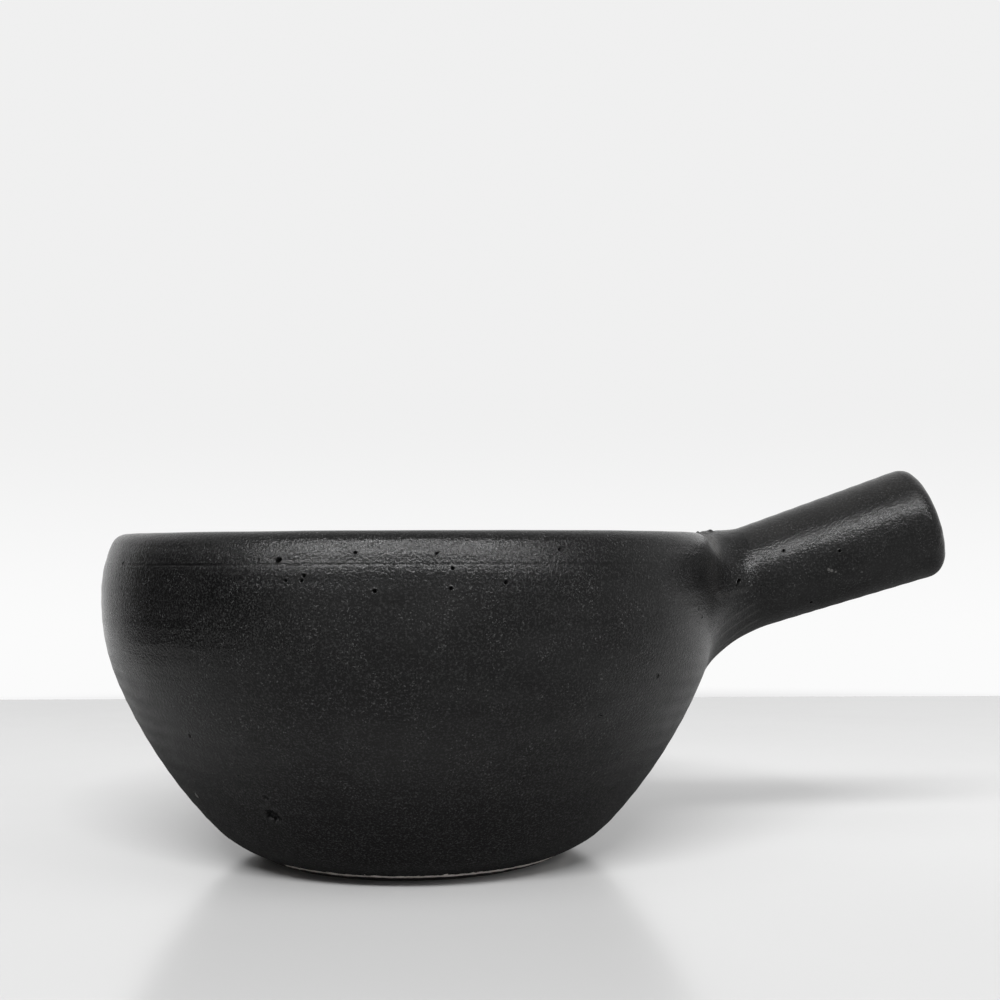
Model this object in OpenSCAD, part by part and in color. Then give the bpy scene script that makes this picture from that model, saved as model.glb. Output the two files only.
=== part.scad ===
// Single-handle donabe: an open stoneware pot with one short hollow handle.
// Sizes are in millimetres. The bowl's axis is Z, the pot stands on Z = 0
// and the handle points along +X and upwards.

/* [Bowl] */
// Widest diameter of the bowl
belly_d = 180; // [160:1:210]
// Height of the rim above the table
bowl_h = 93; // [86:0.5:105]
// Height of the widest point above the table
belly_h = 76; // [66:0.5:84]
// Radius of the shoulder that turns in to the rim
shoulder_r = 38; // [28:1:70]
// Radius of the belly below the widest point
belly_r = 64; // [50:1:80]
// Degrees through which the belly turns before the lower wall
belly_turn = 23; // [16:0.5:28]
// Thickness of the wall
wall_t = 8; // [6:0.5:10]
// Radius of the outer edge of the rim
rim_r = 4.8; // [2:0.1:6]
// Thickness of the floor
floor_t = 8; // [5:0.5:12]
// Radius between the floor and the wall inside
corner_r = 36; // [20:1:50]

/* [Foot] */
// Outer diameter of the foot ring
foot_d = 91.4; // [80:0.2:104]
// Height of the glaze line, where the bowl's skin ends above the table
glaze_line = 2; // [1.5:0.1:3]
// Radius of the turn from the lower wall in to the foot
foot_turn_r = 34; // [26:1:40]
// Degrees above the level at which the wall leaves the foot
foot_flare = 20; // [15:0.5:28]
// Height of the foot ring, which is the depth of the hollow under the base
foot_h = 5; // [4:0.5:8]
// Width of the foot ring
foot_w = 7.5; // [5:0.5:14]
// Width of the undercut on the outer lower edge of the foot ring
foot_undercut = 3.2; // [1:0.1:4]
// Height of that undercut above the table
foot_lift = 1.5; // [0.5:0.1:2]
// Bevel on the inner lower edge of the foot ring
foot_inner_bevel = 1; // [0.4:0.1:2]
// Clearance around the foot ring in its seat
seat_gap = 0.15; // [0.1:0.05:0.3]

/* [Handle] */
// Height at which the handle's axis meets the widest part of the bowl
handle_h = 76.4; // [70:0.2:80]
// Degrees by which the handle rises
handle_rise = 18; // [8:0.5:28]
// Length of the handle along its axis, from the widest part of the bowl
handle_reach = 66.6; // [40:0.2:110]
// Diameter of the handle at its root
handle_root_d = 29.4; // [25:0.2:33]
// Diameter of the handle at its open end
handle_tip_d = 33.4; // [28:0.2:42]
// Radius of the outer edge at the open end
handle_edge_r = 4.6; // [1:0.2:5]
// Diameter of the hollow in the handle
bore_d = 21; // [14:0.5:22]
// Radius of the hollow's edge at the open end
bore_edge_r = 1.2; // [0.4:0.1:1.4]
// Solid clay left at the root, along the axis from the widest part of the bowl
root_web = 7; // [5:0.5:16]

/* [Luting coil] */
// Distance that the coil runs out along the handle
coil_reach = 12; // [8:0.5:20]
// Width of the coil on the wall at the handle's sides
coil_side = 17; // [8:0.5:20]
// Width of the coil on the wall above the handle
coil_up = 1; // [0.6:0.1:2]
// Width of the coil on the wall below the handle
coil_down = 11; // [5:0.5:16]
// Depth of the coil's hollow curve, as a part of the way into the corner
coil_hollow = 0.56; // [0.4:0.01:0.75]
// The same above the handle, where the coil runs nearly straight from the rim
coil_top_hollow = 0.08; // [0.04:0.01:0.6]
// Thickness of the slip between the coil and what it joins
slip_gap = 0.06; // [0.05:0.01:0.12]

/* [Hidden] */
$fn = 80;
belly = belly_d / 2;
foot = foot_d / 2;
bore = bore_d / 2;
handle_tip = handle_tip_d / 2;
handle_root = handle_root_d / 2;
// Part of the foot ring's width that its undercut may take up, and of the glaze line's height
most_undercut = 0.5;
most_lift = 0.8;
// Part of the wall that a rim's outer edge and a bore's edge may take up
most_rim = 0.75;
most_bore_edge = 0.25;
// Least flat left between the two edges at the handle's open end
edge_land = 0.2;
// Depth of the handle inside the bowl's outline, before its root is cut to the wall
root_depth = 32;
// Height of the tool that cuts the handle's root, above the rim
cut_above = 40;
// Steps of the bowl's short arcs, of its long arcs and of its rims
short_steps = 5;
long_steps = 9;
rim_steps = 6;
// Sections of the luting coil, and steps of its face, its handle side and its wall side
coil_sections = 60;
face_steps = 9;
tube_steps = 4;
wall_steps = 5;
// Power that keeps the coil's straighter top to the middle of its top
coil_top_focus = 6;
// Halvings of the search for the seam, and step that gives the wall's slope
halvings = 30;
slope_step = 0.05;

// Unit vector in a profile, by its angle above the level
function dir(a) = [cos(a), sin(a)];
// Angle of a vector in a profile
function angle_of(v) = atan2(v.y, v.x);
// Points of an arc after its first point
function arc(c, r, from, to, n) = [for (i = [1 : n]) c + r * dir(from + (to - from) * i / n)];
// Point on a cubic curve between two ends, each with a point that pulls it
function curve(a, b, c, d, t) =
    a * pow(1 - t, 3) + b * 3 * t * pow(1 - t, 2) + c * 3 * t * t * (1 - t) + d * pow(t, 3);
function unit(v) = v / norm(v);

// The bowl's outline is five arcs that run into each other: foot turn, lower wall,
// belly, shoulder and rim. The lower wall's radius follows from its neighbours,
// and a negative one is a hollow wall.
belly_c = [belly - belly_r, belly_h];
belly_end = belly_c + belly_r * dir(-belly_turn);
foot_edge = [foot, glaze_line];
foot_turn_c = foot_edge + foot_turn_r * dir(90 + foot_flare);
lower_way = belly_end - foot_turn_c;
lower_r = (lower_way * lower_way - foot_turn_r * foot_turn_r)
    / (2 * (lower_way * dir(-belly_turn) - foot_turn_r));
lower_c = belly_end - lower_r * dir(-belly_turn);
lower_turn = -angle_of((foot_turn_c - lower_c) / (lower_r - foot_turn_r));
lower_end = foot_turn_c + foot_turn_r * dir(-lower_turn);
shoulder_c = [belly - shoulder_r, belly_h];
rim = min(rim_r, wall_t * most_rim);
rim_turn = asin((bowl_h - rim - belly_h) / (shoulder_r - rim));
rim_c = shoulder_c + (shoulder_r - rim) * dir(rim_turn);
outer_line = concat(
    [foot_edge],
    arc(foot_turn_c, foot_turn_r, foot_flare - 90, -lower_turn, short_steps),
    arc(lower_c, lower_r, -lower_turn, -belly_turn, long_steps),
    arc(belly_c, belly_r, -belly_turn, 0, short_steps),
    arc(shoulder_c, shoulder_r, 0, rim_turn, short_steps),
    arc(rim_c, rim, rim_turn, 90, rim_steps)
);

// The inside keeps the wall's thickness, with a rounded rim above and a round corner below
inner_shoulder_r = shoulder_r - wall_t;
rim_out = rim_c.x - shoulder_c.x;
rim_up = bowl_h - belly_h;
inner_rim = (rim_out * rim_out + rim_up * rim_up - inner_shoulder_r * inner_shoulder_r)
    / (2 * (rim_up + inner_shoulder_r));
inner_rim_c = [rim_c.x, bowl_h - inner_rim];
inner_rim_turn = angle_of(inner_rim_c - shoulder_c);
inner_lower_r = lower_r - wall_t;
floor_z = foot_h + floor_t;
corner_z = floor_z + corner_r;
corner_out = sqrt(pow(inner_lower_r - corner_r, 2) - pow(lower_c.y - corner_z, 2));
corner_c = [lower_c.x + sign(lower_r) * corner_out, corner_z];
corner_turn = -angle_of((corner_c - lower_c) / (inner_lower_r - corner_r));
inner_line = concat(
    arc(inner_rim_c, inner_rim, 90, 180 + inner_rim_turn, rim_steps),
    arc(shoulder_c, inner_shoulder_r, inner_rim_turn, 0, short_steps),
    arc(belly_c, belly_r - wall_t, 0, -belly_turn, short_steps),
    arc(lower_c, inner_lower_r, -belly_turn, -corner_turn, short_steps),
    arc(corner_c, corner_r, -corner_turn, -90, long_steps)
);

// Radius of the bowl's outside at a height
function arc_x(c, r, z) = c.x + sign(r) * sqrt(max(0, r * r - pow(z - c.y, 2)));
function outer_r(z) =
    z >= bowl_h ? rim_c.x :
    z > rim_c.y + rim * sin(rim_turn) ? arc_x(rim_c, rim, z) :
    z > belly_h ? arc_x(shoulder_c, shoulder_r, z) :
    z > belly_end.y ? arc_x(belly_c, belly_r, z) :
    z > lower_end.y ? arc_x(lower_c, lower_r, z) :
    arc_x(foot_turn_c, foot_turn_r, z);

// The handle is a tapered tube on its own axis, with both edges of its open end rounded
root_point = [belly, 0, handle_h];
along = [cos(handle_rise), 0, sin(handle_rise)];
across = [0, 1, 0];
upward = [-sin(handle_rise), 0, cos(handle_rise)];
taper = atan2(handle_tip - handle_root, handle_reach);
function tube_r(s) = handle_root + (handle_tip - handle_root) * s / handle_reach;
tip_wall = handle_tip - bore;
bore_edge = min(bore_edge_r, tip_wall * most_bore_edge);
tip_edge = min(handle_edge_r, tip_wall - bore_edge - edge_land);
tip_edge_c = [tube_r(handle_reach - tip_edge) - tip_edge / cos(taper), handle_reach - tip_edge];
bore_edge_c = [bore + bore_edge, handle_reach - bore_edge];

// Points on the handle and on the wall, clear of them by the slip
function on_tube(a, s) =
    root_point + s * along + (tube_r(s) + slip_gap) * (cos(a) * across + sin(a) * upward);
function on_wall(y, z) = [sqrt(pow(outer_r(z) + slip_gap, 2) - y * y), y, z];
function off_wall(p) = norm([p.x, p.y]) - outer_r(p.z) - slip_gap;
// Place along the handle where a line on its surface meets the wall
function meeting(a, inside, outside, n) =
    n == 0 ? outside :
    let (middle = (inside + outside) / 2)
    off_wall(on_tube(a, middle)) > 0 ?
        meeting(a, inside, middle, n - 1) :
        meeting(a, middle, outside, n - 1);
// Outward direction of the wall at a point on it
function wall_out(p) =
    let (slope = (outer_r(p.z + slope_step) - outer_r(p.z - slope_step)) / (2 * slope_step))
    unit([p.x / norm([p.x, p.y]), p.y / norm([p.x, p.y]), -slope]);

// The luting coil's section at an angle around the handle: its hollow face from the wall
// to the handle, then back along the handle to the seam and along the wall
seam_half_h = handle_root / cos(handle_rise);
function coil_height(a) = sin(a) * (seam_half_h + (sin(a) > 0 ? coil_up : coil_down));
function coil_foot(a) = on_wall(cos(a) * (handle_root + coil_side), handle_h + coil_height(a));
function coil_section(a) =
    let (
        low = coil_foot(a),
        high = on_tube(a, coil_reach),
        seam = on_tube(a, meeting(a, -root_depth, coil_reach, halvings)),
        out = wall_out(low),
        way = (seam - low) - ((seam - low) * out) * out,
        hollow = coil_hollow + (coil_top_hollow - coil_hollow) * pow(max(0, sin(a)), coil_top_focus),
        low_pull = low + hollow * norm(seam - low) * unit(way),
        high_pull = high + hollow * (seam - high)
    )
    concat(
        [for (i = [0 : face_steps]) curve(low, low_pull, high_pull, high, i / face_steps)],
        [for (i = [1 : tube_steps]) high + (seam - high) * i / tube_steps],
        [for (i = [1 : wall_steps - 1]) let (p = seam + (low - seam) * i / wall_steps) on_wall(p.y, p.z)]
    );

// Wheel-thrown bowl, with a seat under its base for the foot ring
module bowl()
    color("#2b2b2d")
        rotate_extrude()
            polygon(concat(outer_line, inner_line, [[0, floor_z], [0, foot_h], [foot, foot_h]]));

// Turned ring of bare clay that seats under the base
module foot_ring() {
    ring_out = foot - seat_gap;
    ring_in = foot - foot_w;
    undercut = min(foot_undercut, foot_w * most_undercut);
    lift = min(foot_lift, glaze_line * most_lift);
    color("#b9a58c")
        rotate_extrude()
            polygon([
                [ring_in + foot_inner_bevel, 0],
                [ring_out - undercut, 0],
                [ring_out, lift],
                [ring_out, foot_h],
                [ring_in, foot_h],
                [ring_in, foot_inner_bevel]
            ]);
}

// Everything inside the bowl's outline and above its rim, which the handle's root is cut to
module bowl_outline()
    rotate_extrude()
        polygon(concat(
            [[0, glaze_line]],
            outer_line,
            [[rim_c.x, bowl_h + cut_above], [0, bowl_h + cut_above]]
        ));

// Thrown tube, open at its outer end and closed at its root
module handle()
    color("#303033")
        difference() {
            translate(root_point)
                rotate([0, 90 - handle_rise, 0])
                    rotate_extrude()
                        polygon(concat(
                            [[0, -root_depth], [tube_r(-root_depth), -root_depth]],
                            [tip_edge_c + tip_edge * dir(-taper)],
                            arc(tip_edge_c, tip_edge, -taper, 90, rim_steps),
                            [bore_edge_c + bore_edge * dir(90)],
                            arc(bore_edge_c, bore_edge, 90, 180, rim_steps),
                            [[bore, root_web], [0, root_web]]
                        ));
            bowl_outline();
        }

// Coil of clay worked into the corner between the handle and the wall
module luting_coil() {
    count = face_steps + tube_steps + wall_steps;
    points = [for (i = [0 : coil_sections - 1]) each coil_section(360 * i / coil_sections)];
    function at(i, j) = (i % coil_sections) * count + j % count;
    faces = [
        for (i = [0 : coil_sections - 1], j = [0 : count - 1])
            each [
                [at(i, j), at(i, j + 1), at(i + 1, j + 1)],
                [at(i, j), at(i + 1, j + 1), at(i + 1, j)]
            ]
    ];
    color("#3a3a3d")
        polyhedron(points, faces);
}

bowl();
foot_ring();
handle();
luting_coil();
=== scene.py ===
"""Looks of the single-handle donabe: a black glazed stoneware pot on a ring of bare clay."""
import itertools
import math

import bmesh
import bpy
import numpy as np
from mathutils import Matrix, Vector


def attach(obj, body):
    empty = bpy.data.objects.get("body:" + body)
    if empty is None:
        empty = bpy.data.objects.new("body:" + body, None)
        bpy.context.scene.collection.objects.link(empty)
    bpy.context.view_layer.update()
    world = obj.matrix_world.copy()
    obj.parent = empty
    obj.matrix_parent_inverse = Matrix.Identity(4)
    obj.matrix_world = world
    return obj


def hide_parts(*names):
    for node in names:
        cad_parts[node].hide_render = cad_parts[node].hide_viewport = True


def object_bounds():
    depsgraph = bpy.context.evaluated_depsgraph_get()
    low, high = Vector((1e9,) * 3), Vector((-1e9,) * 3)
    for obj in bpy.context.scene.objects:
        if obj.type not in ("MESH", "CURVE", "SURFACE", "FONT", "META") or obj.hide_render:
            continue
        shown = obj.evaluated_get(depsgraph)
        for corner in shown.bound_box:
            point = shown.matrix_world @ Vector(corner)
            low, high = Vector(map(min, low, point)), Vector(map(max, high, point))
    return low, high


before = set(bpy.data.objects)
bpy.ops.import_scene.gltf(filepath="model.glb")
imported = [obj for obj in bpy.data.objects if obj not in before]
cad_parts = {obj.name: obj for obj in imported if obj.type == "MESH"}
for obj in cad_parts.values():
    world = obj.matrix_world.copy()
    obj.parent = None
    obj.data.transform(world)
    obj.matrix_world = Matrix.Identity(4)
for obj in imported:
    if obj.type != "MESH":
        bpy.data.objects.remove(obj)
cad_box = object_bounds()

# Sizes of the pot in millimetres and degrees, the same as in the part's source
MM = 0.001
BELLY = 90.0
BOWL_H = 93.0
BELLY_H = 76.0
SHOULDER_R = 38.0
BELLY_R = 64.0
BELLY_TURN = 23.0
WALL_T = 8.0
RIM_R = 4.8
FLOOR_T = 8.0
CORNER_R = 36.0
FOOT = 45.7
GLAZE_LINE = 2.0
FOOT_TURN_R = 34.0
FOOT_FLARE = 20.0
FOOT_H = 5.0
FOOT_W = 7.5
FOOT_UNDERCUT = 3.2
FOOT_LIFT = 1.5
FOOT_INNER_BEVEL = 1.0
SEAT_GAP = 0.15
HANDLE_H = 76.4
HANDLE_RISE = 18.0
HANDLE_REACH = 66.6
HANDLE_ROOT = 14.7
HANDLE_TIP = 16.7
HANDLE_EDGE_R = 4.6
BORE = 10.5
BORE_EDGE_R = 1.2
ROOT_WEB = 7.0
COIL_REACH = 12.0
COIL_SIDE = 17.0
COIL_UP = 1.0
COIL_DOWN = 11.0
COIL_HOLLOW = 0.56
COIL_TOP_HOLLOW = 0.08
COIL_TOP_FOCUS = 6

# Share by which the glaze is thinner and paler round the upper part of the join: partly a smear of slip,
# partly painted light over the dark reflection of the handle there
SMEAR_AND_FILL = 0.25
# Heights over which that smear and its painted light come in and go out
SMEAR_FILL_IN = (68, 78)
SMEAR_FILL_OUT = (90, 84)
# Distance by which the handle's faces, its bore and the middles of the bowl's pits are held in, and
# that for the middles of the handle's pits
INSET = 0.04
HANDLE_PIT_INSET = 0.1
# Depth by which the bowl is held in near its widest line, over a height, and the handle at its open end
BELLY_HOLD = 0.2
BELLY_HOLD_REACH = 10
TIP_HOLD = 0.12
# Throwing rings outside: their depth, and their pitch on the bowl and on the handle
RING_DEPTH = 0.035
BOWL_RING_PITCH = 4.7
HANDLE_RING_PITCH = 5.3
# Mark of the potter's rib below the rim: its depth and the heights over which it comes in and goes out
RIB_DEPTH = 0.11
RIB_IN = (84.7, 85.9)
RIB_OUT = (94, 89.5)
# Finger rings inside: their pitch, and their depth on the wall and on the floor
FINGER_PITCH = 8.5
WALL_FINGER_DEPTH = 0.2
FLOOR_FINGER_DEPTH = 0.22
# Trimming rings under the base, and chips along the foot ring's outer edge
TRIM_PITCH = 2.3
TRIM_DEPTH = 0.07
CHIP_DEPTH = 0.35
# Room round the luting coil on the wall, and the share of its size at which the wall is clear of it
COIL_MARGIN = 2
COIL_CLEAR = 1.35
# Search for the handle's root: deepest place along the handle, and how often the range is halved
ROOT_DEEPEST = -32.0
ROOT_HALVINGS = 40
# Half of the height over which the wall's slope is measured
SLOPE_STEP = 0.05

# Mesh steps along the surfaces
OUTER_STEP = 0.95
INNER_STEP = 2.1
RIM_STEP = 0.7
BASE_STEP = 1.9
SEAT_STEP = 1.5
FOOT_STEP = 0.45
HANDLE_STEP = 0.55
BORE_EDGE_STEP = 0.4
BORE_STEP = 1.3
WEB_STEP = 1.4
# Counts of points around the pieces and of rows along them
BOWL_COLUMNS = 360
HANDLE_COLUMNS = 232
CAP_ROWS = 9
NECK_ROWS = 24
EDGE_ROWS = 14
COIL_COLUMNS = 220
COIL_ROWS = 46
COIL_TUBE_ROWS = 8
COIL_WALL_ROWS = 12
# Radius of the smallest ring round a pole of the bowl and at the bottom of the bore
BOWL_POLE_R = 1.6
BORE_POLE_R = 0.8
# Cuts of each edge near a pit, and how far they reach: a share of the pit's radius and a margin
PIT_CUTS = 7
PIT_REACH = 1.5
PIT_MARGIN = 0.8
SHARP_ANGLE = math.radians(40)
FULL_TURN = 2 * math.pi

# Pits and pinholes in the glaze of the bowl: azimuth, height, radius and depth
BOWL_PITS = (
    (-119.0, 20.5, 2.4, 1.6),
    (-118.4, 25.6, 1.0, 0.8),
    (-107.9, 86.0, 0.7, 2.2),
    (-146.0, 85.0, 0.45, 2.0),
    (-106.4, 81.0, 0.45, 2.0),
    (-103.8, 81.0, 0.4, 1.8),
    (-103.4, 82.2, 0.45, 2.0),
    (-95.5, 87.6, 0.45, 2.0),
    (-83.0, 87.3, 0.4, 1.8),
    (-80.6, 83.8, 0.45, 2.0),
    (-80.9, 79.0, 0.45, 2.0),
    (-72.3, 80.4, 0.45, 2.0),
    (-62.7, 88.2, 0.4, 1.8),
    (-92.4, 78.6, 0.5, 2.0),
    (-52.0, 46.2, 0.45, 2.0),
    (-39.8, 55.3, 0.45, 2.0),
    (-37.7, 82.5, 0.45, 2.0),
    (-132.0, 41.0, 0.6, 0.4),
    (-78.2, 9.2, 0.9, 0.3),
    (-28.3, 72.1, 0.4, 1.8),
    (-26.4, 69.8, 0.4, 1.8),
    (-144.4, 22.5, 1.0, -0.25),
)
# Pinholes in the handle and a pale smear: place along it, angle around it, radius and depth
HANDLE_PITS = (
    (20.2, 160.0, 0.4, 1.8),
    (35.3, 179.0, 0.4, 1.8),
    (24.0, 229.5, 0.45, 1.8),
    (30.7, 194.5, 0.55, -0.05),
    (31.5, 196.5, 0.5, -0.05),
    (32.5, 199.5, 0.4, -0.05),
)
# Height of the lip round a pit as a share of its depth, and its most height
LIP_SHARE = 0.07
LIP_HEIGHT = 0.06
# Pinholes that no photograph shows, scattered over the other sides: their count and seed, the ranges
# of azimuth, height and radius, and how many times deeper than its radius each one is
HIDDEN_PITS = 26
HIDDEN_PIT_SEED = 11
HIDDEN_PIT_TURN = (22, 200)
HIDDEN_PIT_HEIGHT = (12, 88)
HIDDEN_PIT_R = (0.35, 0.6)
HIDDEN_PIT_DEPTH = 4


def direction(angle):
    """Unit vector in a profile, by its angle above the level in degrees."""
    turn = math.radians(angle)
    return np.array([math.cos(turn), math.sin(turn)])


def angle_of(vector):
    """Angle of a vector in a profile, in degrees."""
    return math.degrees(math.atan2(vector[1], vector[0]))


def arc(centre, radius, start, end, step):
    """Points along an arc between two angles, about one step apart, both ends included."""
    count = max(2, round(abs(math.radians(end - start)) * abs(radius) / step))
    turn = np.radians(np.linspace(start, end, count + 1))
    return np.asarray(centre) + radius * np.c_[np.cos(turn), np.sin(turn)]


def straight(start, end, step):
    """Points along a straight line, about one step apart, both ends included."""
    start, end = np.asarray(start, float), np.asarray(end, float)
    count = max(1, round(np.linalg.norm(end - start) / step))
    return start + (end - start) * np.linspace(0, 1, count + 1)[:, None]


def chain(*lines):
    """One line from several that run into each other."""
    return np.concatenate([lines[0]] + [line[1:] for line in lines[1:]])


def smooth(low, high, value):
    """0 below low, 1 above high, with a soft step in between."""
    part = np.clip((value - low) / (high - low), 0, 1)
    return part * part * (3 - 2 * part)


def bell(value, width):
    """1 at zero, falling off to both sides over a width."""
    return np.exp(-(value / width) ** 2)


def noise(points, size, seed, cells=48):
    """Smooth random heights from -1 to 1, with bumps about one size across."""
    table = np.random.default_rng(seed).uniform(-1, 1, (cells,) * 3)
    place = points / size
    low = np.floor(place).astype(int)
    part = place - low
    part = part * part * (3 - 2 * part)
    total = np.zeros(points.shape[:-1])
    for corner in itertools.product((0, 1), repeat=3):
        weight = np.prod(np.where(corner, part, 1 - part), axis=-1)
        cell = (low + corner) % cells
        total += weight * table[cell[..., 0], cell[..., 1], cell[..., 2]]
    return total


# Outline of the bowl: foot turn, lower wall, belly, shoulder and rim run into each other
belly_c = np.array([BELLY - BELLY_R, BELLY_H])
belly_end = belly_c + BELLY_R * direction(-BELLY_TURN)
foot_edge = np.array([FOOT, GLAZE_LINE])
foot_turn_c = foot_edge + FOOT_TURN_R * direction(90 + FOOT_FLARE)
lower_way = belly_end - foot_turn_c
lower_lead = lower_way @ direction(-BELLY_TURN) - FOOT_TURN_R
lower_r = (lower_way @ lower_way - FOOT_TURN_R ** 2) / (2 * lower_lead)
lower_c = belly_end - lower_r * direction(-BELLY_TURN)
lower_turn = -angle_of(foot_turn_c - lower_c)
lower_end = foot_turn_c + FOOT_TURN_R * direction(-lower_turn)
shoulder_c = np.array([BELLY - SHOULDER_R, BELLY_H])
rim_turn = math.degrees(math.asin((BOWL_H - RIM_R - BELLY_H) / (SHOULDER_R - RIM_R)))
rim_c = shoulder_c + (SHOULDER_R - RIM_R) * direction(rim_turn)
rim_start = rim_c + RIM_R * direction(rim_turn)
# The inside keeps the wall's thickness, with a rounded rim and a round corner at the floor
inner_shoulder_r = SHOULDER_R - WALL_T
rim_out = rim_c[0] - shoulder_c[0]
rim_up = BOWL_H - BELLY_H
inner_rim = (rim_out ** 2 + rim_up ** 2 - inner_shoulder_r ** 2) / (2 * (rim_up + inner_shoulder_r))
inner_rim_c = np.array([rim_c[0], BOWL_H - inner_rim])
inner_rim_turn = angle_of(inner_rim_c - shoulder_c)
floor_z = FOOT_H + FLOOR_T
corner_z = floor_z + CORNER_R
corner_way = lower_r - WALL_T - CORNER_R
corner_c = np.array([lower_c[0] + math.sqrt(corner_way ** 2 - (lower_c[1] - corner_z) ** 2), corner_z])
corner_turn = -angle_of(corner_c - lower_c)
# The handle's own axes and its root on the wall
root_point = np.array([BELLY, 0, HANDLE_H])
along = np.array([math.cos(math.radians(HANDLE_RISE)), 0, math.sin(math.radians(HANDLE_RISE))])
across = np.array([0.0, 1.0, 0.0])
upward = np.array([-along[2], 0, along[0]])


def outer_radius(z):
    """Radius of the bowl's outside at a height."""
    def side(centre, radius):
        return centre[0] + np.sqrt(np.maximum(0, radius ** 2 - (z - centre[1]) ** 2))

    levels = [z >= BOWL_H, z > rim_start[1], z > BELLY_H, z > belly_end[1], z > lower_end[1]]
    sides = [
        rim_c[0], side(rim_c, RIM_R), side(shoulder_c, SHOULDER_R), side(belly_c, BELLY_R),
        side(lower_c, lower_r),
    ]
    return np.select(levels, sides, side(foot_turn_c, FOOT_TURN_R))


def wall_slope(z):
    """How fast that radius grows with height."""
    return (outer_radius(z + SLOPE_STEP) - outer_radius(z - SLOPE_STEP)) / (2 * SLOPE_STEP)


def tube_radius(s):
    """Radius of the handle at a place along it."""
    return HANDLE_ROOT + (HANDLE_TIP - HANDLE_ROOT) * s / HANDLE_REACH


def on_handle(angle, s, radius):
    """Points round the handle's axis, by angle, place along it and distance from it."""
    ring = np.cos(angle)[..., None] * across + np.sin(angle)[..., None] * upward
    return root_point + np.asarray(s)[..., None] * along + np.asarray(radius)[..., None] * ring


def root_place(angle, share):
    """Place along the handle where a line at a share of its radius meets the wall."""
    inside = np.full(angle.shape, ROOT_DEEPEST)
    outside = np.full(angle.shape, COIL_REACH)
    for _ in range(ROOT_HALVINGS):
        middle = (inside + outside) / 2
        point = on_handle(angle, middle, share * tube_radius(middle))
        clear = np.hypot(point[..., 0], point[..., 1]) > outer_radius(point[..., 2])
        outside = np.where(clear, middle, outside)
        inside = np.where(clear, inside, middle)
    return outside


def away_from_coil(points):
    """0 where the luting coil lies on the wall, 1 clear of it."""
    half_height = HANDLE_ROOT / along[0] + (COIL_UP + COIL_DOWN) / 2
    middle = HANDLE_H - (COIL_DOWN - COIL_UP) / 2
    side = points[..., 1] / (HANDLE_ROOT + COIL_SIDE + COIL_MARGIN)
    height = (points[..., 2] - middle) / (half_height + COIL_MARGIN)
    reach = np.where(points[..., 0] > 0, np.hypot(side, height), COIL_CLEAR)
    return smooth(1.0, COIL_CLEAR, reach)


def smeared_and_filled(points):
    """Thinner glaze smeared over the upper join, with light painted over the handle's dark reflection there.
    """
    height = points[..., 2]
    return SMEAR_AND_FILL * smooth(*SMEAR_FILL_IN, height) * smooth(*SMEAR_FILL_OUT, height)


def profile_normals(line):
    """Outward normals of a line that runs up the outside and down the inside."""
    tangent = np.gradient(line, axis=0)
    normal = np.c_[tangent[:, 1], -tangent[:, 0]]
    return normal / np.linalg.norm(normal, axis=1)[:, None]


def ring_angles(count):
    """Evenly spaced angles round a full turn."""
    return np.arange(count) * FULL_TURN / count


def grid_faces(rows, columns):
    """Quads of a grid whose columns close into a ring."""
    start = np.arange(rows - 1)[:, None] * columns
    above = start + columns
    column = np.arange(columns)
    after = (column + 1) % columns
    quads = np.stack([start + column, start + after, above + after, above + column], axis=-1)
    return quads.reshape(-1, 4).tolist()


def closed_faces(rows, columns):
    """Quads of a grid that closes into a ring both ways."""
    total = rows * columns
    last = [[(corner + total - columns) % total for corner in quad] for quad in grid_faces(2, columns)]
    return grid_faces(rows, columns) + last


def fan_faces(pole, ring, columns, below):
    """Triangles from a pole to a ring of points."""
    column = ring + np.arange(columns)
    after = ring + (np.arange(columns) + 1) % columns
    poles = np.full(columns, pole)
    return np.stack([poles, after, column] if below else [column, after, poles], axis=-1).tolist()


def capped_faces(rows, columns):
    """Faces of a grid of rings, with a fan at each end to one of two poles that follow the rings."""
    count = rows * columns
    faces = grid_faces(rows, columns)
    faces += fan_faces(count, 0, columns, True)
    faces += fan_faces(count + 1, count - columns, columns, False)
    return faces


def make_piece(name, points, faces, marks_and_shade, materials, slots=None):
    """A smooth mesh object in metres, from points in millimetres.

    A point attribute is 1 where the glaze is thin or painted paler as highlight or fill light, and -1 in
    hollows, where shade is painted into them, and where glaze covers bare clay.
    """
    mesh = bpy.data.meshes.new(name)
    mesh.from_pydata((points * MM).tolist(), [], faces)
    mesh.validate()
    attribute = mesh.attributes.new("glaze_marks_and_shade", "FLOAT", "POINT")
    attribute.data.foreach_set("value", np.clip(marks_and_shade, -1, 1).astype(np.float32))
    for material in materials:
        mesh.materials.append(material)
    if slots is not None:
        mesh.polygons.foreach_set("material_index", np.asarray(slots, np.int32))
    mesh.shade_smooth()
    mesh.set_sharp_from_angle(angle=SHARP_ANGLE)
    piece = bpy.data.objects.new(name, mesh)
    bpy.context.scene.collection.objects.link(piece)
    return piece


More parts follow.
